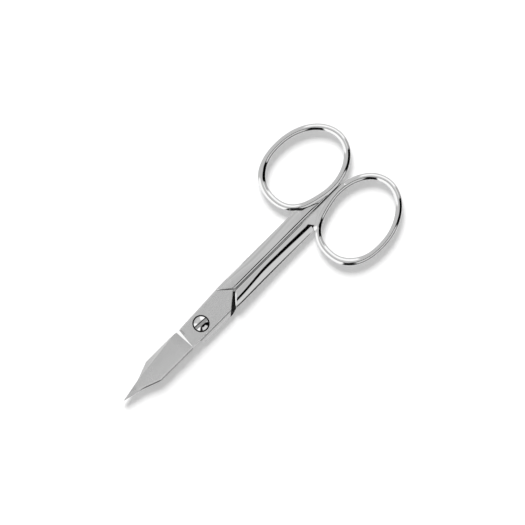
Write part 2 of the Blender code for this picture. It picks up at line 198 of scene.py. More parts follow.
# Levels of each half in its own frame, and of the joint in the world
LAP_LEVEL = JOINT_CLEARANCE / 2
RICASSO_LEVEL = LAP_LEVEL + RICASSO_THICKNESS
JOINT_PLANE = RICASSO_THICKNESS + LAP_LEVEL
RICASSO_TOP = JOINT_PLANE + RICASSO_LEVEL
SEAT_LEVEL = RICASSO_TOP - RECESS_DEPTH + SEAT_CLEARANCE
SLOT_LEVEL = SEAT_LEVEL + HEAD_RIM + DOME_RISE - SLOT_DEPTH

# Fineness of the meshes
WELD = 1e-4
BEYOND = 4.0  # how far a cutter reaches past what it cuts
THROUGH = 6.0
ROUND_STEPS = 128
DOME_STEPS = 32
RIM_STEPS = 6
ROUNDING_STEPS = 8
SIDE_STEPS = 40
SHANK_STEPS = 170
WEB_STEPS = 70
RING_TURNS = 320
RING_AROUND = 48
RICASSO_SIDE_STEPS = 90
RICASSO_SIDE_LEVELS = 28
HOLLOW_STEPS = 96
FINEST_BLEND_EDGE = 0.14
BLEND_REFINEMENTS = 2
BLEND_PASSES = 8
BLEND_SMOOTHING_PASSES = 6
LONGEST_BLEND_STEP = 0.3
SHARP_ANGLE = math.radians(30.0)

# Painted shade in the materials
GAP_LAP_SPAN = (-0.3, -0.1)  # past the lap's end
GAP_SHOULDER_SPAN = (0.3, 0.1)  # past the lower half's shoulder
GAP_TOP_SPAN = (0.35, 0.2)
GAP_LOW_SPAN = (-1.64, -1.50)
CORNER_FRONT_SPAN = (-0.34, -0.2)  # past the upper half's shoulder
CORNER_BACK_SPAN = (0.1, 0.0)
CORNER_LOW_SPAN = (1.4, 1.6)
CORNER_FADE_SPAN = (-3.3, -1.0)
CORNER_FADED = 0.3
CORNER_DARK = 0.95
SEAM_SHADE_WIDTH = 0.27
SEAM_SHADE_SOFTNESS = 0.05
UPPER_WEB_SHADE_WIDTH = 0.26
LOWER_WEB_SHADE_WIDTH = 0.16
WEB_SHADE_SPAN = (36.0, 38.0)
SEAM_START_SPAN = (12.4, 12.9)
CREASE_LEVEL = 29.67
CREASE_BEND = 26.3
CREASE_SLOPE = 0.41
CREASE_START_SPAN = (22.6, 23.4)
CREASE_END_SPAN = (30.6, 30.2)
CREASE_NARROWING_SPAN = (25.8, 27.8)
CREASE_REACH = 0.34
CREASE_END_REACH = 0.12
CREASE_SOFTNESS = 0.06
CREASE_LOW_SPAN = (0.6, 0.7)
SPINE_SLOPE = 0.37
UNDER_INNER_SPAN = (0.02, 0.10)  # outside the upper blade's spine
UNDER_OUTER_SPAN = (0.40, 0.30)
UNDER_TOP_SPAN = (0.35, 0.2)
UNDER_LOW_SPAN = (-0.2, 0.0)
UNDER_BACK_SPAN = (9.5, 8.5)
UNDER_FRONT_SPAN = (-25.0, -22.0)
UNDER_DARKER_SPAN = (-17.4, -18.2)
UNDER_SHADE = 0.4
UNDER_DARK = 0.85
SLOT_WALL_SPAN = (-0.12, -0.3)
SLOT_FLOOR_SHADE = 0.38
SHADE_IN_SPECKS = 0.92
PAINTED_SHADE_COLOUR = 0.02
DARK_ROUGHNESS = 0.6
LEAST_ROUGHNESS = 0.85  # as a share of the steel's own
CLOUD_ROUGHNESS = 0.3
LINE_DEPTH = 0.012
WAVE_DEPTH = 0.006

# Studio light; brightness 1 is white
WHITE = (1.0, 1.0, 1.0, 1.0)
AMBIENT = 0.37
KEY = 0.70
KEY_TOWARDS = (-0.83, 0.48, 1.0)
KEY_ANGLE = math.radians(27.0)
FLOOR_COLOUR = 0.8
FLOOR_LIFT = 0.22
FLOOR_HALF_WIDTH = 6000.0
FLOOR_GAP = 0.02
STUDIO_LEVEL = 0.76

# What the steel mirrors, painted one over the other. Each row has a brightness, then in degrees
# the azimuth of the middle and half the width, the lowest and the highest zenith angle, and the
# softness of the sides and of the ends. The zenith angles are those that crowns of full height
# would mirror: make_world works them out from what the flattened crowns mirror.
PATCHES = {
    "shade_overhead": (0.66, 0.0, 181.0, -20.0, 7.0, 5.0, 4.0),
    "grey_high_left": (0.70, 184.0, 36.0, 8.0, 24.0, 6.0, 4.0),
    "grey_low_left": (0.63, 184.0, 36.0, 42.0, 66.0, 4.0, 8.0),
    "white_panel_behind": (1.35, 105.0, 43.0, 26.0, 90.0, 3.0, 4.0),
    "grey_under_panel_behind": (0.62, 105.0, 46.0, 92.0, 125.0, 4.0, 2.0),
    "white_panel_in_front": (1.35, -92.0, 42.0, 30.0, 115.0, 3.0, 4.0),
    "pale_panel_right": (0.85, 0.0, 27.0, 36.0, 96.0, 3.0, 3.0),
    "grey_strip": (0.55, 68.0, 11.0, 40.0, 115.0, 4.0, 8.0),
    "black_card_behind": (0.0, 41.0, 17.0, 21.0, 140.0, 2.0, 3.0),
    "black_card_in_front_high": (0.02, -43.0, 11.0, 22.0, 62.0, 2.5, 4.0),
    "black_card_in_front_low": (0.0, -43.0, 13.0, 60.0, 140.0, 2.5, 5.0),
    "black_card_right": (0.0, 0.0, 38.0, 13.5, 32.0, 4.0, 1.5),
    "dark_strip_in_front": (0.25, -80.0, 26.0, 15.0, 25.0, 5.0, 2.0),
    "black_card_low_right": (0.03, 2.0, 60.0, 97.0, 170.0, 5.0, 3.0),
    "grey_card_low_left": (0.66, 180.0, 50.0, 97.0, 125.0, 5.0, 3.0),
}

# Camera, straight above the scissors
VIEW_DISTANCE = 900.0
VIEW_WIDTH = 136.5
VIEW_CENTRE = (0.07, 22.5)
VIEW_TURN = math.radians(45.0)
SENSOR_WIDTH = 36.0


def smooth_step(share):
    share = min(max(share, 0.0), 1.0)
    return share * share * (3.0 - 2.0 * share)


def eased(value, start, end):
    """0 at the start, 1 at the end, eased."""
    return smooth_step((value - start) / (end - start))


def lerp(a, b, share):
    return a + (b - a) * min(max(share, 0.0), 1.0)


# Meshes


def mesh_of(name, bm, material):
    bmesh.ops.recalc_face_normals(bm, faces=bm.faces)
    mesh = bpy.data.meshes.new(name)
    bm.to_mesh(mesh)
    bm.free()
    mesh.transform(Matrix.Scale(MM, 4))
    mesh.materials.append(material)
    return mesh


def loft(name, sections, material):
    bm = bmesh.new()
    rings = [[bm.verts.new(point) for point in section] for section in sections]
    for near, far in zip(rings, rings[1:]):
        for i in range(len(near)):
            j = (i + 1) % len(near)
            bm.faces.new((near[i], near[j], far[j], far[i]))
    bm.faces.new(reversed(rings[0]))
    bm.faces.new(rings[-1])
    return mesh_of(name, bm, material)


def add_object(name, data):
    obj = bpy.data.objects.new(name, data)
    bpy.context.scene.collection.objects.link(obj)
    return obj


def plate(name, outline, low, high, material, rounding):
    curve = bpy.data.curves.new(name, "CURVE")
    curve.dimensions = "2D"
    curve.fill_mode = "BOTH"
    curve.extrude = (high - low) / 2 - rounding
    curve.bevel_depth = rounding
    curve.bevel_resolution = 2
    curve.offset = -rounding
    spline = curve.splines.new("POLY")
    spline.points.add(len(outline) - 1)
    for point, (x, y) in zip(spline.points, outline):
        point.co = (x, y, 0.0, 1.0)
    spline.use_cyclic_u = True
    drawn = add_object(name, curve)
    drawn.location.z = (high + low) / 2
    bpy.context.view_layer.update()
    graph = bpy.context.evaluated_depsgraph_get()
    flat = bpy.data.meshes.new_from_object(drawn.evaluated_get(graph))
    flat.transform(drawn.matrix_world)
    bpy.data.objects.remove(drawn, do_unlink=True)
    bm = bmesh.new()
    bm.from_mesh(flat)
    bpy.data.meshes.remove(flat)
    bmesh.ops.remove_doubles(bm, verts=bm.verts, dist=WELD)
    return mesh_of(name, bm, material)


def cylinder(name, radius, low, high, material):
    bm = bmesh.new()
    bmesh.ops.create_cone(
        bm, cap_ends=True, segments=ROUND_STEPS, radius1=radius, radius2=radius, depth=high - low
    )
    bmesh.ops.translate(bm, verts=bm.verts, vec=(0.0, 0.0, (high + low) / 2))
    return mesh_of(name, bm, material)


def combine(name, base, steps):
    """base mesh, then each (mesh, operation) in turn, as one object."""
    obj = add_object(name, base)
    helpers = []
    for i, (mesh, operation) in enumerate(steps):
        helper = add_object(f"{name}_helper_{i}", mesh)
        helpers.append(helper)
        modifier = obj.modifiers.new(helper.name, "BOOLEAN")
        modifier.operation = operation
        modifier.solver = "EXACT"
        modifier.material_mode = "TRANSFER"
        modifier.object = helper
    bpy.context.view_layer.update()
    graph = bpy.context.evaluated_depsgraph_get()
    mesh = bpy.data.meshes.new_from_object(obj.evaluated_get(graph))
    obj.modifiers.clear()
    obj.data = mesh
    for helper in helpers:
        bpy.data.objects.remove(helper, do_unlink=True)
    return obj


def mark_flat_border(mesh):
    """Sharp edges round the joint's ground flat, which is the only level face at that height."""
    level = 0.9995
    near = 0.01 * MM
    borders = set()
    for polygon in mesh.polygons:
        if polygon.normal.z > level and abs(polygon.center.z - RICASSO_LEVEL * MM) < near:
            borders ^= set(polygon.edge_keys)
    sharp = mesh.attributes["sharp_edge"].data
    for edge in mesh.edges:
        if tuple(sorted(edge.vertices)) in borders:
            sharp[edge.index].value = True


def settle(obj, choose_material=None):
    """Smooth shading with sharp edges kept and flat faces flat, and a material for each face."""
    mesh = obj.data
    if choose_material:
        for polygon in mesh.polygons:
            polygon.material_index = choose_material(polygon.center / MM, polygon.normal)
    mesh.shade_smooth()
    mesh.set_sharp_from_angle(angle=SHARP_ANGLE)
    mark_flat_border(mesh)
    modifier = obj.modifiers.new("normals", "WEIGHTED_NORMAL")
    modifier.keep_sharp = True
    modifier.mode = "FACE_AREA_WITH_ANGLE"
    modifier.weight = 90
    graph = bpy.context.evaluated_depsgraph_get()
    bpy.context.view_layer.update()
    finished = bpy.data.meshes.new_from_object(obj.evaluated_get(graph))
    obj.modifiers.clear()
    obj.data = finished
    return obj


# Forged bar


class Half:
    """What differs between the two halves."""

    def __init__(
        self,
        shoulder,
        rounding,
        root_power,
        crest,
        extra_width,
        neck_height,
        fall_end,
        edge,
        blend,
        eared,
        recessed,
    ):
        self.reach, self.slope = shoulder
        self.rounding = rounding
        self.root_power = root_power
        self.crest = crest
        self.extra_width = extra_width
        self.neck_height = neck_height
        self.fall_end = fall_end
        self.edge = edge
        self.blend = blend
        self.eared = eared
        self.recessed = recessed

    def side_power(self, y):
        """How square the outer side is: 2 is an ellipse."""
        root = (self.root_power - 2.0) * (1.0 - eased(y, *ROOT_POWER_SPAN))
        return 2.0 + root + WEB_POWER_RISE * eased(y, *WEB_POWER_SPAN)

    def half_height(self, y, neck):
        fall = eased(y, FALL_START, self.fall_end or neck)  # without an end of its own, at the neck
        height = ROOT_HALF_HEIGHT + (self.neck_height - ROOT_HALF_HEIGHT) * fall
        start, end = WEB_FALL_SPAN
        return height + (WEB_HALF_HEIGHT - self.neck_height) * eased(y, neck + start, neck + end)


def edge_line(side_width, heel_span, shoulder_reach, waist_width, waist_reach):
    """The blade's cutting edge, from the ricasso to the waist."""
    return [
        (-RICASSO_FRONT_WIDTH, -FACE_STEP_REACH - heel_span[0]),
        (-side_width, -FACE_STEP_REACH - heel_span[1]),
        (-side_width, -shoulder_reach),
        (-waist_width, -waist_reach),
    ]


UPPER_EDGE = edge_line(
    EDGE_SIDE_WIDTH, EDGE_HEEL_SPAN, EDGE_SHOULDER_REACH, EDGE_WAIST_WIDTH, EDGE_WAIST_REACH
)
LOWER_EDGE = edge_line(
    LOWER_EDGE_SIDE_WIDTH,
    LOWER_EDGE_HEEL_SPAN,
    LOWER_EDGE_SHOULDER_REACH,
    LOWER_EDGE_WAIST_WIDTH,
    LOWER_EDGE_WAIST_REACH,
)
UPPER = Half(
    shoulder=UPPER_SHOULDER,
    rounding=UPPER_SHOULDER_ROUNDING,
    root_power=UPPER_ROOT_POWER,
    crest=UPPER_CREST,
    extra_width=0.0,
    neck_height=UPPER_NECK_HALF_HEIGHT,
    fall_end=UPPER_FALL_END,
    edge=UPPER_EDGE,
    blend=UPPER_BLEND,
    eared=False,
    recessed=True,
)
LOWER = Half(
    shoulder=LOWER_SHOULDER,
    rounding=LOWER_SHOULDER_ROUNDING,
    root_power=LOWER_ROOT_POWER,
    crest=LOWER_CREST,
    extra_width=LOWER_EXTRA_WIDTH,
    neck_height=LOWER_NECK_HALF_HEIGHT,
    fall_end=None,
    edge=LOWER_EDGE,
    blend=LOWER_BLEND,
    eared=True,
    recessed=False,
)


def crown(share, height, width, power, edge):
    """Height at a share of a half width: a superellipse, straight where steep, rounded past edge."""
    ratio = (STEEPEST * width / height) ** (power / (power - 1.0))
    turning = (ratio / (1.0 + ratio)) ** (1.0 / power)
    if share <= turning:
        return height * (1.0 - share**power) ** (1.0 / power)
    straight = height * (1.0 - turning**power) ** (1.0 / power)
    straight -= STEEPEST * width * (share - turning)
    past = max(0.0, (share - edge) / (1.0 - edge))
    return max(straight, 0.0) * math.sqrt(max(0.0, 1.0 - past * past))


def bar_profile(half, y, inner, width, half_height, inset=0.0):
    """Closed (u, z) loop: seam side, its rounding, crest, and the outer side."""
    power = half.side_power(y)
    crest = min(half.crest, inner + CREST_SHARE * (width - inner))
    drop = min(SEAM_ROUNDING_DROP, half_height / 2)
    upper = []
    for i in range(ROUNDING_STEPS + 1):
        turn = math.pi / 2 * i / ROUNDING_STEPS
        u = crest - (crest - inner) * math.cos(turn)
        upper.append((u, half_height - drop + drop * math.sin(turn)))
    for i in range(1, SIDE_STEPS + 1):
        turn = math.pi / 2 * i / SIDE_STEPS
        share = math.sin(turn) ** (2 / power) if i < SIDE_STEPS else 1.0
        height = crown(share, half_height, width - crest, power, BAR_EDGE)
        upper.append((crest + (width - crest) * share, height))
    lower = [(u, -z) for u, z in reversed(upper[:-1])]
    middle = (inner + width) / 2
    across = 1.0 - inset / (width - middle)
    up = 1.0 - inset / half_height
    return [(middle + (u - middle) * across, z * up) for u, z in upper + lower]


class Ring:
    """The finger ring's wire."""

    def __init__(self, reach):
        self.long = (RING_LENGTH - RING_WIRE_WIDTH * RING_LENGTH / RING_BREADTH) / 2
        self.short = (RING_BREADTH - RING_WIRE_WIDTH) / 2 - RING_SIDE_TRIM
        cos, sin = math.cos(RING_LEAN), math.sin(RING_LEAN)
        half_x = math.hypot(RING_BREADTH / 2 * cos, RING_LENGTH / 2 * sin)
        half_y = math.hypot(RING_BREADTH / 2 * sin, RING_LENGTH / 2 * cos)
        self.centre = Vector((-SEAM_SIDE - half_x, reach - half_y, 0.0))
        self.lean = Matrix.Rotation(-RING_LEAN, 3, "Z")
        along, across = self.short * cos, self.long * sin
        self.nearest = math.atan2(across, along)
        self.reach_x = math.hypot(along, across)

    def middle(self, turn):
        """The wire's middle line: an ellipse that is longer and fuller at the joint's end."""
        cos, sin = math.cos(turn), math.sin(turn)
        if sin >= 0.0:
            return Vector((self.short * cos, self.long * sin, 0.0))
        share = eased(-sin, 0.0, 0.5)
        power = 2.0 / (2.0 + (RING_NEAR_POWER - 2.0) * share)
        x = self.short * math.copysign(abs(cos) ** power, cos)
        y = (self.long + RING_NEAR_EXTRA) * math.copysign(abs(sin) ** power, sin)
        bulge = RING_FORK_BULGE * self.near(turn, *RING_FORK_ARC)
        return Vector((x, y, 0.0)) * (1.0 + bulge / math.hypot(x, y))

    @staticmethod
    def near(turn, centre, reach):
        """1 at the centre angle, eased to 0 at reach degrees from it."""
        off = abs(math.remainder(turn - math.radians(centre), 2 * math.pi))
        return 1.0 - smooth_step(off / math.radians(reach))

    def half_width(self, turn, out):
        """Half the wire's width, on its outer side or with out below 0 on its inner side."""
        swell = RING_FAR_SWELL * smooth_step(math.sin(turn))
        swell += RING_LOW_SWELL * self.near(turn, *RING_LOW_ARC)
        width = (RING_WIRE_WIDTH + swell) / 2
        if out < 0.0:
            width += RING_INNER_SWELL * self.near(turn, *RING_INNER_ARC)
        return width

    def point(self, turn, out=0.0, up=0.0):
        """The wire's middle, or a point that lies out and up from it."""
        nudge = 1e-4
        along = self.middle(turn + nudge) - self.middle(turn - nudge)
        outward = Vector((along.y, -along.x, 0.0)).normalized()
        return self.centre + self.lean @ (self.middle(turn) + outward * out + Vector((0.0, 0.0, up)))

    def turn_at_depth(self, depth):
        share = (-depth - self.centre.x) / self.reach_x
        return self.nearest - math.acos(min(max(share, -1.0), 1.0))


def ring_mesh(name, ring, material):
    bm = bmesh.new()
    rows = []
    for i in range(RING_TURNS):
        turn = 2 * math.pi * i / RING_TURNS
        row = []
        for j in range(RING_AROUND):
            a = 2 * math.pi * j / RING_AROUND
            c, s = math.cos(a), math.sin(a)
            share = min(abs(c) ** (2 / RING_POWER), 1.0)
            width = ring.half_width(turn, c)
            height = 0.0
            if j % (RING_AROUND // 2):
                height = crown(share, RING_HALF_HEIGHT, width, RING_POWER, RING_EDGE)
            out = math.copysign(share * width, c)
            row.append(bm.verts.new(ring.point(turn, out, math.copysign(height, s))))
        rows.append(row)
    for i in range(RING_TURNS):
        near, far = rows[i], rows[(i + 1) % RING_TURNS]
        for j in range(RING_AROUND):
            k = (j + 1) % RING_AROUND
            bm.faces.new((near[j], near[k], far[k], far[j]))
    return mesh_of(name, bm, material)


def bar_width(half, y, neck):
    """The bar's outer side, from the seam."""
    if y > ROOT_REACH:
        width = lerp(SHANK_WIDTH, SHANK_NECK_WIDTH, (y - ROOT_REACH) / (neck - ROOT_REACH))
    elif y > RICASSO_BACK_REACH:
        share = (y - RICASSO_BACK_REACH) / (ROOT_REACH - RICASSO_BACK_REACH)
        width = lerp(RICASSO_BACK_WIDTH, SHANK_WIDTH, share)
    else:
        share = (y + FACE_STEP_REACH) / (RICASSO_BACK_REACH + FACE_STEP_REACH)
        width = lerp(RICASSO_FRONT_WIDTH, RICASSO_BACK_WIDTH, share)
    width += half.extra_width * eased(y, EAR_BACK, EAR_BACK + EXTRA_WIDTH_RUN_IN)
    if half.eared:
        rise = eased(y, LOWER_EAR_FRONT - EAR_RUN_OUT, LOWER_EAR_FRONT)
        fall = 1.0 - eased(y, EAR_BACK, EAR_BACK + 2 * EAR_RUN_OUT)
        width += (LOWER_EAR_WIDTH - width) * rise * fall
    return width


def shank_mesh(name, ring, half, material):
    """The shank with its rounded, slanted front end, and the web that runs on into the ring."""
    start = ring.turn_at_depth(SHANK_NECK_WIDTH)
    end = ring.nearest + TAIL_PAST_NEAREST
    neck = ring.point(start).y
    slant = math.hypot(1.0, half.slope)
    first = half.reach + half.rounding * slant

    def section(base, skew, inset=0.0):
        """Section whose points lie skew times the shoulder's slant in front of base."""
        lean = skew * half.slope
        width = bar_width(half, base - lean * SHANK_WIDTH, neck)
        height = half.half_height(base, neck)
        profile = bar_profile(half, base - lean * SECTION_MIDDLE, SEAM_SIDE, width, height, inset)
        return [Vector((-u, base - lean * u, z)) for u, z in profile]

    sections = []
    for i in range(ROUNDING_STEPS + 1):
        turn = math.pi / 2 * i / ROUNDING_STEPS
        forward = half.rounding * (1.0 - math.cos(turn))
        inset = half.rounding * (1.0 - math.sin(turn))
        sections.append(section(half.reach + forward * slant, 1.0, inset))
    for i in range(1, SHANK_STEPS + 1):
        base = first + (neck - first) * i / SHANK_STEPS
        sections.append(section(base, 1.0 - smooth_step((base - first) / SLANT_FADE)))
    for i in range(1, WEB_STEPS + 1):
        share = i / WEB_STEPS
        middle = ring.point(start + (end - start) * share)
        sunk = eased(share, WEB_SINK_SHARE, 1.0)
        closer = (SEAM_SIDE - WEB_SEAM_SIDE) * eased(share, 0.0, WEB_CLOSE_SHARE) * (1.0 - sunk)
        inner = SEAM_SIDE - closer + sunk * RING_WIRE_WIDTH / 2
        height = half.half_height(middle.y, neck)
        profile = bar_profile(half, middle.y, inner, -middle.x - WEB_INSET, height)
        sections.append([Vector((-u, middle.y, z)) for u, z in profile])
    return loft(name, sections, material)


def soft_union(name, body_mesh, ring_part, blend):
    """Union of two meshes whose meeting crease is drawn into a smooth fillet."""
    trees = []
    for mesh in (body_mesh, ring_part):
        points = [v.co / MM for v in mesh.vertices]
        trees.append(BVHTree.FromPolygons(points, [tuple(p.vertices) for p in mesh.polygons]))
    obj = combine(name, body_mesh, [(ring_part, "UNION")])
    bm = bmesh.new()
    bm.from_mesh(obj.data)
    bmesh.ops.scale(bm, verts=bm.verts, vec=(1.0 / MM,) * 3)

    def distances(point):
        """Signed distance to each of the two meshes, with the normal there."""
        found = []
        for tree in trees:
            place, normal, _, far = tree.find_nearest(point)
            found.append((far if (point - place).dot(normal) >= 0.0 else -far, normal))
        return found

    def near_crease(vert):
        if not BLEND_SPAN[0] < vert.co.y < BLEND_SPAN[1]:
            return False
        (a, _), (b, _) = distances(vert.co)
        return max(abs(a), abs(b)) < blend

    finest = min(FINEST_BLEND_EDGE, blend / 5)
    for _ in range(BLEND_REFINEMENTS):
        zone = {v for v in bm.verts if near_crease(v)}
        faces = [f for f in bm.faces if any(v in zone for v in f.verts)]
        bmesh.ops.triangulate(bm, faces=faces)
        edges = [
            e
            for e in bm.edges
            if (e.verts[0] in zone or e.verts[1] in zone) and e.calc_length() > finest
        ]
        bmesh.ops.subdivide_edges(bm, edges=edges, cuts=1)
        bmesh.ops.triangulate(bm, faces=[f for f in bm.faces if len(f.verts) > 4])
    zone = [v for v in bm.verts if near_crease(v)]
    for step in range(BLEND_PASSES):
        if step < BLEND_SMOOTHING_PASSES:
            bmesh.ops.smooth_vert(
                bm, verts=zone, factor=0.5, use_axis_x=True, use_axis_y=True, use_axis_z=True
            )
        for vert in zone:
            (a, normal_a), (b, normal_b) = distances(vert.co)
            share = min(max(0.5 + 0.5 * (b - a) / blend, 0.0), 1.0)
            field = b * (1.0 - share) + a * share - blend * share * (1.0 - share)
            slope = normal_a * share + normal_b * (1.0 - share)
            if slope.length > 0.05:
                move = min(max(field / slope.length, -LONGEST_BLEND_STEP), LONGEST_BLEND_STEP)
                vert.co -= slope.normalized() * move
    bmesh.ops.scale(bm, verts=bm.verts, vec=(MM,) * 3)
    bm.to_mesh(obj.data)
    bm.free()
    mesh = obj.data
    bpy.data.objects.remove(obj, do_unlink=True)
    return mesh


def raise_crowns(mesh):
    """Flatten the rounded tops and stand them on an upright wall, and keep fillets off the seam."""
    for vert in mesh.vertices:
        vert.co.x = min(vert.co.x, -WEB_SEAM_SIDE * MM)
        depth = abs(vert.co.z) / MM
        wall = WALL_HALF_HEIGHT - WALL_DROP * eased(vert.co.y / MM, *WALL_DROP_SPAN)
        raised = CROWN_SCALE * depth + wall * smooth_step(depth / WALL_FOOT)
        vert.co.z = math.copysign(raised * MM, vert.co.z)
    return mesh


def ricasso_side_mesh(name, half, material):
    """The forged outer side of the ricasso, under the ground flat."""
    far_neck = 60.0
    sections = []
    front = -FACE_STEP_REACH - RICASSO_SIDE_BEFORE_STEP
    for i in range(RICASSO_SIDE_STEPS + 1):
        y = front + (RICASSO_SIDE_BACK - front) * i / RICASSO_SIDE_STEPS
        width = bar_width(half, y, far_neck) - RICASSO_INSET
        height = ROOT_HALF_HEIGHT - RICASSO_INSET
        profile = [(u, z) for u, z in bar_profile(half, y, SEAM_SIDE, width, height) if z >= 0.0]
        outer = profile[ROUNDING_STEPS + 1 :]
        us = np.array([u for u, z in outer])
        zs = np.array([z for u, z in outer])
        side = []
        for drop in np.linspace(0.0, RICASSO_LEVEL, RICASSO_SIDE_LEVELS):
            across = float(np.interp(drop - RICASSO_LEVEL, -zs, us))
            side.append((across, RICASSO_LEVEL - CROWN_SCALE * drop))
        side.append((side[-1][0], LAP_LEVEL))
        loop = [(SIDE_INSIDE, LAP_LEVEL), (SIDE_INSIDE, RICASSO_LEVEL)] + side
        sections.append([Vector((-u, y, z)) for u, z in loop])
    return loft(name, sections, material)


# Ground plate


def fillet(points, radius, steps=10):
    """The middle one of three points replaced by an arc."""
    before, corner, after = (Vector(point) for point in points)
    a = (before - corner).normalized()
    b = (after - corner).normalized()
    reach = radius / math.tan(a.angle(b) / 2)
    start, end = corner + a * reach, corner + b * reach
    arc = []
    for i in range(steps + 1):
        t = i / steps
        arc.append(tuple(start * (1 - t) ** 2 + corner * 2 * t * (1 - t) + end * t**2))
    return arc


def blade_outline(edge):
    lap_end, slope = LAP_END
    flat_end = UPPER.reach + RICASSO_LAND
    apex = (flat_end - lap_end) / (slope + UPPER.slope)
    tip = (-apex, lap_end + slope * apex)
    corner = (SPINE_SIDE_WIDTH, lap_end - slope * SPINE_SIDE_WIDTH)
    spine_shoulder = (SPINE_SIDE_WIDTH, -SPINE_SHOULDER_REACH)
    rounded = fillet([spine_shoulder, corner, tip], LAP_CORNER_RADIUS)
    return [
        (0.0, -BLADE_REACH),
        (SPINE_WAIST_WIDTH, -SPINE_WAIST_REACH),
        spine_shoulder,
        *rounded,
        tip,
        (-PLATE_INSIDE, flat_end - UPPER.slope * PLATE_INSIDE),
        (-PLATE_INSIDE, -FACE_STEP_REACH + PLATE_BEHIND_STEP),
        *edge,
    ]


def face_height(x, y):
    """Level of the blade's ground face, which falls towards the edge and the point."""
    across = FACE_STEP_DEPTH / (SPINE_SIDE_WIDTH + EDGE_SIDE_WIDTH)
    middle = RICASSO_LEVEL - across * SPINE_SIDE_WIDTH
    along = (middle - LAP_LEVEL - POINT_THICKNESS) / (BLADE_REACH - FACE_STEP_REACH)
    return RICASSO_LEVEL - across * (SPINE_SIDE_WIDTH - x) + along * (y + FACE_STEP_REACH)


def face_cutter(name, material):
    """What is ground off the plate in front of the step."""
    side = EDGE_SIDE_WIDTH + BEYOND
    front = -BLADE_REACH - BEYOND
    top = RICASSO_LEVEL + BEYOND
    sections = []
    for x in (-side, side):
        step = -FACE_STEP_REACH + math.tan(FACE_STEP_SKEW) * (x - SPINE_SIDE_WIDTH)
        foot = face_height(x, step)
        sections.append(
            [
                Vector((x, front, face_height(x, front))),
                Vector((x, step, foot)),
                Vector((x, step + (top - foot) / math.tan(FACE_STEP_ANGLE), top)),
                Vector((x, front, top)),
            ]
        )
    return loft(name, sections, material)


def bevel_cutter(name, material):
    """What is ground off above the cutting edge's bevel."""
    shoulder = -EDGE_SHOULDER_REACH
    start = -FACE_STEP_REACH - EDGE_BEVEL_START
    edge = Vector((-EDGE_SIDE_WIDTH, shoulder, LAP_LEVEL + EDGE_THICKNESS))
    inner_x = -EDGE_SIDE_WIDTH + EDGE_BEVEL_WIDTH
    inner = Vector((inner_x, shoulder, face_height(inner_x, shoulder)))
    heel = Vector((-EDGE_SIDE_WIDTH, start, face_height(-EDGE_SIDE_WIDTH, start)))
    normal = (inner - edge).cross(heel - edge).normalized()

    def height(x, y):
        return edge.z - (normal.x * (x - edge.x) + normal.y * (y - edge.y)) / normal.z

    top = RICASSO_LEVEL + BEYOND
    out = -EDGE_SIDE_WIDTH - BEYOND
    sections = []
    for y in (-BLADE_REACH - BEYOND, start):
        sections.append(
            [
                Vector((out, y, height(out, y))),
                Vector((0.0, y, height(0.0, y))),
                Vector((0.0, y, top)),
                Vector((out, y, top)),
            ]
        )
    return loft(name, sections, material)


def hollow_cutter(name, material):
    """The shallow cap of an ellipsoid that is ground out of the blade's inner face."""
    rim = math.sqrt(1.0 - HOLLOW_CAP_LEVEL**2)
    half_height = HOLLOW_DEPTH / (1.0 - HOLLOW_CAP_LEVEL)
    back = -FACE_STEP_REACH + HOLLOW_START
    front = -EDGE_SHOULDER_REACH - HOLLOW_PAST_SHOULDER
    left = -EDGE_SIDE_WIDTH + HOLLOW_EDGE_MARGIN
    right = SPINE_SIDE_WIDTH - HOLLOW_EDGE_MARGIN
    size = ((right - left) / 2 / rim, (back - front) / 2 / rim, half_height)
    centre = ((left + right) / 2, (back + front) / 2, LAP_LEVEL + HOLLOW_DEPTH - half_height)
    bm = bmesh.new()
    bmesh.ops.create_uvsphere(bm, u_segments=HOLLOW_STEPS, v_segments=HOLLOW_STEPS, radius=1.0)
    bmesh.ops.scale(bm, verts=bm.verts, vec=size)
    bmesh.ops.translate(bm, verts=bm.verts, vec=centre)
    return mesh_of(name, bm, material)


POLISHED, SATIN, GROUND, HONED = range(4)


def face_kind(centre, normal):
    """Which steel a face of a half shows: its place in half_steels."""
    upward, level, sloping = 0.9, 0.5, -0.3
    if centre.y > UPPER.reach + 0.5 or centre.z < LAP_LEVEL - 0.05:
        return POLISHED
    if centre.y < -FACE_STEP_REACH + 1.0:
        if normal.z < -upward or (normal.z > level and normal.x < sloping):
            return HONED
        if normal.z > upward:
            return GROUND
        return HONED if centre.y < -FACE_STEP_REACH else POLISHED
    if normal.z < -upward:
        return HONED
    return SATIN if normal.z > upward else POLISHED


def make_half(name, ring_reach, half, steels):
    ring = Ring(ring_reach)
    polished = steels[POLISHED]
    shank = shank_mesh(name, ring, half, polished)
    finger_ring = ring_mesh(name + "_ring", ring, polished)
    base = raise_crowns(soft_union(name + "_base", shank, finger_ring, half.blend))
    outline = blade_outline(half.edge)
    flat = plate(name + "_plate", outline, LAP_LEVEL, RICASSO_LEVEL, polished, PLATE_ROUNDING)
    steps = [
        (ricasso_side_mesh(name + "_side", half, polished), "UNION"),
        (flat, "UNION"),
        (face_cutter(name + "_face", polished), "DIFFERENCE"),
        (bevel_cutter(name + "_bevel", polished), "DIFFERENCE"),
        (hollow_cutter(name + "_hollow", polished), "DIFFERENCE"),
        (cylinder(name + "_hole", HOLE_RADIUS, -THROUGH, THROUGH, polished), "DIFFERENCE"),
    ]
    if half.recessed:
        seat = RICASSO_LEVEL - RECESS_DEPTH
        recess = cylinder(name + "_recess", RECESS_RADIUS, seat, THROUGH, polished)
        steps.append((recess, "DIFFERENCE"))
    obj = combine(name, base, steps)
    obj.data.materials.clear()
    for material in steels:
        obj.data.materials.append(material)
    return settle(obj, face_kind)


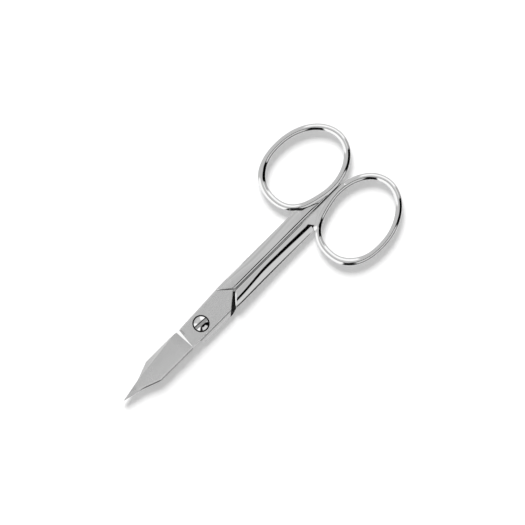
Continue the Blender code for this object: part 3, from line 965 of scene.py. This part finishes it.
def screw_profile():
    """(radius, height) points from the top of the dome, round the head and down to the end."""
    rim = SEAT_LEVEL + HEAD_RIM
    cap = HEAD_RADIUS - RIM_ROUNDING
    profile = []
    for i in range(DOME_STEPS + 1):
        share = i / DOME_STEPS
        profile.append((cap * share, rim + DOME_RISE * (1.0 - share**2)))
    for i in range(1, RIM_STEPS + 1):
        turn = math.pi / 2 * i / RIM_STEPS
        radius = cap + RIM_ROUNDING * math.sin(turn)
        profile.append((radius, rim - RIM_ROUNDING + RIM_ROUNDING * math.cos(turn)))
    profile += [(HEAD_RADIUS, SEAT_LEVEL), (SCREW_RADIUS, SEAT_LEVEL)]
    profile += [(SCREW_RADIUS, END_CHAMFER), (SCREW_RADIUS - END_CHAMFER, 0.0), (0.0, 0.0)]
    return profile


def slot_cutter(name, material):
    bm = bmesh.new()
    height = 2 * BEYOND
    lift = (0.0, 0.0, SLOT_LEVEL + height / 2)
    turned = Matrix.Rotation(SLOT_TURN, 3, "Z")
    bmesh.ops.create_cube(bm, size=1.0)
    bmesh.ops.scale(bm, verts=bm.verts, vec=(SLOT_WIDTH, height, height))
    bmesh.ops.translate(bm, verts=bm.verts, vec=lift)
    bmesh.ops.rotate(bm, verts=bm.verts, cent=(0.0, 0.0, 0.0), matrix=turned)
    return mesh_of(name, bm, material)


def make_screw(name, material):
    profile = screw_profile()
    bm = bmesh.new()
    top = bm.verts.new((0.0, 0.0, profile[0][1]))
    bottom = bm.verts.new((0.0, 0.0, 0.0))
    turns = [2 * math.pi * j / ROUND_STEPS for j in range(ROUND_STEPS)]
    rows = [
        [bm.verts.new((radius * math.cos(a), radius * math.sin(a), height)) for a in turns]
        for radius, height in profile[1:-1]
    ]
    for j in range(ROUND_STEPS):
        k = (j + 1) % ROUND_STEPS
        bm.faces.new((top, rows[0][j], rows[0][k]))
        bm.faces.new((bottom, rows[-1][k], rows[-1][j]))
        for near, far in zip(rows, rows[1:]):
            bm.faces.new((near[j], far[j], far[k], near[k]))
    body = mesh_of(name, bm, material)
    return settle(combine(name, body, [(slot_cutter(name + "_slot", material), "DIFFERENCE")]))


# Materials


class Nodes:
    """Small helper that adds nodes to a tree."""

    def __init__(self, tree):
        self.tree = tree

    def add(self, kind, **settings):
        node = self.tree.nodes.new(kind)
        for key, value in settings.items():
            setattr(node, key, value)
        return node

    def feed(self, socket, value):
        if isinstance(value, bpy.types.NodeSocket):
            self.tree.links.new(value, socket)
        else:
            socket.default_value = value

    def maths(self, operation, *values):
        node = self.add("ShaderNodeMath", operation=operation)
        for socket, value in zip(node.inputs, values):
            self.feed(socket, value)
        return node.outputs[0]

    def plus(self, a, b):
        return self.maths("ADD", a, b)

    def minus(self, a, b):
        return self.maths("SUBTRACT", a, b)

    def size(self, value):
        return self.maths("ABSOLUTE", value)

    def times(self, *values):
        product = values[0]
        for value in values[1:]:
            product = self.maths("MULTIPLY", product, value)
        return product

    def highest(self, *values):
        found = values[0]
        for value in values[1:]:
            found = self.maths("MAXIMUM", found, value)
        return found

    def ramp(self, value, low, high):
        """0 at low, 1 at high, eased; low may be above high."""
        node = self.add("ShaderNodeMapRange", interpolation_type="SMOOTHSTEP", clamp=True)
        self.feed(node.inputs["Value"], value)
        node.inputs["From Min"].default_value = min(low, high)
        node.inputs["From Max"].default_value = max(low, high)
        node.inputs["To Min"].default_value = float(low > high)
        node.inputs["To Max"].default_value = float(low < high)
        return node.outputs["Result"]

    def mix(self, share, a, b):
        node = self.add("ShaderNodeMix", data_type="FLOAT")
        self.feed(node.inputs[0], share)
        self.feed(node.inputs[2], a)
        self.feed(node.inputs[3], b)
        return node.outputs[0]

    def noise(self, vector, scale, detail=2.0, roughness=0.5):
        node = self.add("ShaderNodeTexNoise")
        self.feed(node.inputs["Vector"], vector)
        node.inputs["Scale"].default_value = scale
        node.inputs["Detail"].default_value = detail
        node.inputs["Roughness"].default_value = roughness
        return node.outputs["Fac"]

    def stretched(self, vector, x, y, z):
        node = self.add("ShaderNodeMapping")
        self.feed(node.inputs["Vector"], vector)
        node.inputs["Scale"].default_value = (x, y, z)
        return node.outputs["Vector"]


def past(n, x, y, line):
    """How far a point lies past a line that slants forward on either side of the seam, in y."""
    return n.minus(n.plus(y, n.times(n.size(x), line[1])), line[0])


def shoulder_gap_shade(n, x, y, z):
    """Painted shade in the open gap between the lap's end and the lower half's shoulder."""
    behind_lap = n.ramp(past(n, x, y, LAP_END), *GAP_LAP_SPAN)
    before_shoulder = n.ramp(past(n, x, y, LOWER_SHOULDER), *GAP_SHOULDER_SPAN)
    return n.times(behind_lap, before_shoulder, n.ramp(z, *GAP_TOP_SPAN), n.ramp(z, *GAP_LOW_SPAN))


def screw_recess_shade(n, x, y, z):
    """Painted shade in the ring round the screw's head, below the flat."""
    far = n.maths("SQRT", n.plus(n.times(x, x), n.times(y, y)))
    inside = n.ramp(far, RECESS_RADIUS + 0.05, RECESS_RADIUS + 0.01)
    return n.times(inside, n.ramp(z, RICASSO_LEVEL - 0.05, RICASSO_LEVEL - 0.2))


def seam_shade(n, x, y, web_width):
    """Painted shade on the strip along the seam, with its own width beside the rings."""
    strip = n.mix(n.ramp(y, *WEB_SHADE_SPAN), SEAM_SHADE_WIDTH, web_width)
    near = n.ramp(n.plus(x, strip), -SEAM_SHADE_SOFTNESS, SEAM_SHADE_SOFTNESS)
    return n.times(near, n.ramp(y, *SEAM_START_SPAN))


def shoulder_corner_shade(n, x, y, z):
    """Painted shade in the corner where the upper half's flat meets its shoulder, darkest at the seam."""
    beyond = past(n, x, y, UPPER_SHOULDER)
    across = n.times(n.ramp(beyond, *CORNER_FRONT_SPAN), n.ramp(beyond, *CORNER_BACK_SPAN))
    below = n.ramp(z, RICASSO_LEVEL + 0.08, RICASSO_LEVEL + 0.04)
    strength = n.mix(n.ramp(x, *CORNER_FADE_SPAN), CORNER_FADED, CORNER_DARK)
    return n.times(across, below, n.ramp(z, *CORNER_LOW_SPAN), strength)


def fork_crease_shade(n, x, y, z):
    """Painted shade in the crease between the upper ring and its shank, along the image's level
    direction.
    """
    along = n.times(n.plus(x, y), math.sqrt(0.5))
    up = n.times(n.minus(y, x), math.sqrt(0.5))
    bent = n.times(n.maths("MAXIMUM", n.minus(along, CREASE_BEND), 0.0), CREASE_SLOPE)
    reach = n.mix(n.ramp(along, *CREASE_NARROWING_SPAN), CREASE_REACH, CREASE_END_REACH)
    beside = n.minus(reach, n.size(n.minus(up, n.plus(bent, CREASE_LEVEL))))
    near = n.ramp(beside, -CREASE_SOFTNESS, CREASE_SOFTNESS)
    ends = n.times(n.ramp(along, *CREASE_START_SPAN), n.ramp(along, *CREASE_END_SPAN))
    return n.times(near, ends, n.ramp(z, *CREASE_LOW_SPAN))


def spine_side(n, y):
    """Where the spine's side lies at y, from the seam."""
    slanted = n.plus(n.times(y, SPINE_SLOPE), SPINE_SIDE_WIDTH + SPINE_SLOPE * SPINE_SHOULDER_REACH)
    return n.maths("MINIMUM", slanted, SPINE_SIDE_WIDTH)


def under_spine_shade(n, x, y, z):
    """Painted shade on the strip of the lower half that lies just outside the upper blade's spine."""
    outside = n.minus(n.times(x, -1.0), spine_side(n, y))
    strip = n.times(n.ramp(outside, *UNDER_INNER_SPAN), n.ramp(outside, *UNDER_OUTER_SPAN))
    level = n.times(n.ramp(z, *UNDER_TOP_SPAN), n.ramp(z, *UNDER_LOW_SPAN))
    along = n.times(n.ramp(y, *UNDER_BACK_SPAN), n.ramp(y, *UNDER_FRONT_SPAN))
    return n.times(strip, level, along, n.mix(n.ramp(y, *UNDER_DARKER_SPAN), UNDER_SHADE, UNDER_DARK))


def upper_painted_shade(n, x, y, z):
    """1 where shade is painted on the upper half."""
    seam = seam_shade(n, x, y, UPPER_WEB_SHADE_WIDTH)
    joint = n.highest(shoulder_gap_shade(n, x, y, z), screw_recess_shade(n, x, y, z), shoulder_corner_shade(n, x, y, z))
    return n.highest(joint, seam, fork_crease_shade(n, x, y, z))


def lower_painted_shade(n, x, y, z):
    """1 where shade is painted on the lower half."""
    seam = seam_shade(n, x, y, LOWER_WEB_SHADE_WIDTH)
    joint = n.highest(shoulder_gap_shade(n, x, y, z), screw_recess_shade(n, x, y, z))
    return n.highest(joint, seam, under_spine_shade(n, x, y, z))


def screw_painted_shade(n, x, y, z):
    """1 where shade is painted beside the slot's one wall, and part of that on its floor."""
    across = n.minus(n.times(x, math.cos(SLOT_TURN)), n.times(y, -math.sin(SLOT_TURN)))
    between = n.ramp(n.size(across), SLOT_WIDTH / 2 + 0.03, SLOT_WIDTH / 2)
    inside = n.times(between, n.ramp(z, SLOT_LEVEL + 0.05, SLOT_LEVEL + 0.01))
    return n.times(inside, n.mix(n.ramp(across, *SLOT_WALL_SPAN), SLOT_FLOOR_SHADE, 1.0))


def painted_face_light(n, x, y):
    """Painted light and shade on the blade's face: darker at both ends, lighter towards the spine, and a
    painted highlight along the spine's edge.
    """
    inside = n.minus(spine_side(n, y), x)
    # Painted highlight along the spine's rounded edge.
    painted_edge_highlight = n.mix(n.ramp(inside, 0.45, 0.30), 1.0, 1.12)
    # Painted shade under the step, and at the point.
    painted_step_shade = n.mix(n.ramp(y, -9.5, -6.3), 1.0, 0.93)
    point = n.mix(n.ramp(y, -23.2, -24.4), 1.0, 0.85)
    # Painted light, brighter towards the spine.
    across = n.mix(n.ramp(x, -1.5, 1.8), 0.985, 1.035)
    return n.times(across, painted_step_shade, point, painted_edge_highlight)


def steel(name, colour, roughness, shade_mask, lines, waves, painted_light=None):
    """Steel with brushed lines, soft waves and painted shade in its crevices; lines and waves say how
    strong.
    """
    material = bpy.data.materials.new(name)
    material.use_nodes = True
    tree = material.node_tree
    n = Nodes(tree)
    shader = tree.nodes["Principled BSDF"]
    shader.inputs["Metallic"].default_value = 1.0
    place = n.add("ShaderNodeTexCoord").outputs["Object"]
    in_mm = n.add("ShaderNodeVectorMath", operation="SCALE")
    tree.links.new(place, in_mm.inputs[0])
    in_mm.inputs["Scale"].default_value = 1.0 / MM
    point = in_mm.outputs[0]
    split = n.add("ShaderNodeSeparateXYZ")
    tree.links.new(point, split.inputs[0])
    x, y, z = split.outputs
    speck = n.noise(point, scale=3.5, detail=3.0, roughness=0.6)
    # Painted shade: where the mask is 1 the colour goes nearly black and rougher, a little weaker in
    # specks.
    painted_darkness = n.times(shade_mask(n, x, y, z), n.mix(n.ramp(speck, 0.45, 0.65), 1.0, SHADE_IN_SPECKS))

    cloud = n.noise(point, scale=0.8, detail=3.0)
    brush = n.noise(n.stretched(point, 9.0, 0.6, 9.0), scale=1.0, detail=4.0, roughness=0.65)
    wave = n.noise(n.stretched(point, 1.0, 0.12, 1.0), scale=1.3, detail=1.0)
    brushed = n.plus(n.times(brush, lines), 1.0 - lines / 2)
    clouded = n.plus(n.times(cloud, waves), 1.0 - waves / 2)
    shade = n.times(brushed, clouded)
    # Painted light and shade across a face, where one is given.
    if painted_light:
        shade = n.times(shade, painted_light(n, x, y))
    tint = n.add("ShaderNodeCombineColor")
    for socket, part in zip(tint.inputs, colour):
        n.feed(socket, n.times(n.mix(painted_darkness, part, PAINTED_SHADE_COLOUR), shade))
    tree.links.new(tint.outputs[0], shader.inputs["Base Color"])
    rough = n.plus(n.times(cloud, roughness * CLOUD_ROUGHNESS), roughness * LEAST_ROUGHNESS)
    n.feed(shader.inputs["Roughness"], n.mix(painted_darkness, rough, DARK_ROUGHNESS))
    bump = n.add("ShaderNodeBump")
    bump.inputs["Distance"].default_value = MM
    bump.inputs["Strength"].default_value = 1.0
    height = n.plus(n.times(brush, lines * LINE_DEPTH), n.times(wave, waves * WAVE_DEPTH))
    n.feed(bump.inputs["Height"], height)
    tree.links.new(bump.outputs[0], shader.inputs["Normal"])
    return material


def grey(value):
    return (value, value, value)


def half_steels(side, shade_mask):
    """Polished, joint flat, blade face, and bevel or lap, in the order that face_kind gives."""
    return (
        # The greys are partly the finishes' own and partly painted light: the ground face is set darker
        # and the honed bevel and lap lighter than the satin flat.
        steel(side + "_polished_steel", grey(0.72), 0.05, shade_mask, lines=0.03, waves=0.05),
        steel(side + "_satin_steel", grey(0.70), 0.26, shade_mask, lines=0.14, waves=0.06),
        steel(side + "_ground_steel", grey(0.61), 0.26, shade_mask, lines=0.14, waves=0.06, painted_light=painted_face_light),
        steel(side + "_honed_steel", grey(0.79), 0.24, shade_mask, lines=0.10, waves=0.05),
    )


UPPER_STEELS = half_steels("upper", upper_painted_shade)
LOWER_STEELS = half_steels("lower", lower_painted_shade)
SCREW_STEEL = steel("screw_steel", grey(0.74), 0.05, screw_painted_shade, lines=0.02, waves=0.02)

upper = make_half("upper_half_steel", UPPER_RING_REACH, UPPER, UPPER_STEELS)
lower = make_half("lower_half_steel", LOWER_RING_REACH, LOWER, LOWER_STEELS)
RAISED = Matrix.Translation((0.0, 0.0, JOINT_PLANE * MM))
upper.matrix_world = RAISED
lower.matrix_world = RAISED @ Matrix.Rotation(math.pi, 4, "Y")
screw = make_screw("pivot_screw_steel", SCREW_STEEL)

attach(upper, "upper")
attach(lower, "lower")
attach(screw, "lower")
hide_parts("upper_half")
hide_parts("lower_half")
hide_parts("pivot_screw")


# Stage


def make_world():
    """White to the camera, plain ambient light, and the studio that the steel mirrors."""
    world = bpy.data.worlds.new("studio")
    bpy.context.scene.world = world
    world.use_nodes = True
    tree = world.node_tree
    tree.nodes.clear()
    n = Nodes(tree)
    coordinate = n.add("ShaderNodeTexCoord")
    split = n.add("ShaderNodeSeparateXYZ")
    tree.links.new(coordinate.outputs["Generated"], split.inputs[0])
    x, y, z = split.outputs
    tilt = n.maths("TANGENT", n.times(n.maths("ARCCOSINE", z), 0.5))
    steeper = n.maths("ARCTANGENT", n.times(tilt, 1.0 / CROWN_SCALE))
    zenith = n.times(steeper, 360.0 / math.pi)
    around = n.times(n.maths("ARCTAN2", y, x), 180.0 / math.pi)

    level = STUDIO_LEVEL
    for value, centre, half, low, high, soft_sides, soft_ends in PATCHES.values():
        off = n.size(n.maths("WRAP", n.minus(around, centre), -180.0, 180.0))
        mask = n.times(
            n.ramp(off, half + soft_sides, half - soft_sides),
            n.ramp(zenith, low - soft_ends, low + soft_ends),
            n.ramp(zenith, high + soft_ends, high - soft_ends),
        )
        level = n.mix(mask, level, value)

    path = n.add("ShaderNodeLightPath")
    studio = n.add("ShaderNodeBackground")
    studio.inputs["Color"].default_value = WHITE
    n.feed(studio.inputs["Strength"], n.mix(path.outputs["Is Diffuse Ray"], level, AMBIENT))
    white = n.add("ShaderNodeBackground")
    white.inputs["Color"].default_value = WHITE
    choose = n.add("ShaderNodeMixShader")
    tree.links.new(path.outputs["Is Camera Ray"], choose.inputs[0])
    tree.links.new(studio.outputs[0], choose.inputs[1])
    tree.links.new(white.outputs[0], choose.inputs[2])
    out = n.add("ShaderNodeOutputWorld")
    tree.links.new(choose.outputs[0], out.inputs["Surface"])


def floor_material():
    """Pale, and lifted to white where the camera or a mirror sees it; the shadow stays."""
    material = bpy.data.materials.new("floor")
    material.use_nodes = True
    tree = material.node_tree
    tree.nodes.clear()
    n = Nodes(tree)
    diffuse = n.add("ShaderNodeBsdfDiffuse")
    diffuse.inputs["Color"].default_value = (*grey(FLOOR_COLOUR), 1.0)
    lift = n.add("ShaderNodeEmission")
    lift.inputs["Color"].default_value = WHITE
    path = n.add("ShaderNodeLightPath").outputs
    seen = n.highest(path["Is Camera Ray"], path["Is Glossy Ray"], path["Is Transmission Ray"])
    n.feed(lift.inputs["Strength"], n.times(seen, FLOOR_LIFT))
    both = n.add("ShaderNodeAddShader")
    tree.links.new(diffuse.outputs[0], both.inputs[0])
    tree.links.new(lift.outputs[0], both.inputs[1])
    out = n.add("ShaderNodeOutputMaterial")
    tree.links.new(both.outputs[0], out.inputs["Surface"])
    return material


def make_floor():
    low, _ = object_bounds()
    bm = bmesh.new()
    bmesh.ops.create_grid(bm, x_segments=1, y_segments=1, size=FLOOR_HALF_WIDTH)
    floor = add_object("floor", mesh_of("floor", bm, floor_material()))
    floor.location.z = low.z - FLOOR_GAP * MM


def make_key():
    light = bpy.data.lights.new("key", "SUN")
    towards = Vector(KEY_TOWARDS).normalized()
    light.energy = math.pi * KEY / towards.z
    light.angle = KEY_ANGLE
    key = add_object("key", light)
    key.rotation_euler = towards.to_track_quat("Z", "Y").to_euler()
    key.visible_glossy = False


def make_camera():
    data = bpy.data.cameras.new("camera")
    camera = add_object("camera", data)
    data.sensor_width = SENSOR_WIDTH
    data.lens = SENSOR_WIDTH * VIEW_DISTANCE / VIEW_WIDTH
    camera.location = Vector((*VIEW_CENTRE, VIEW_DISTANCE + JOINT_PLANE)) * MM
    camera.rotation_euler = (0.0, 0.0, VIEW_TURN)
    data.clip_start = 0.01
    data.clip_end = 20.0
    bpy.context.scene.camera = camera


make_world()
make_floor()
make_key()
make_camera()
bpy.context.scene.view_settings.view_transform = "Standard"
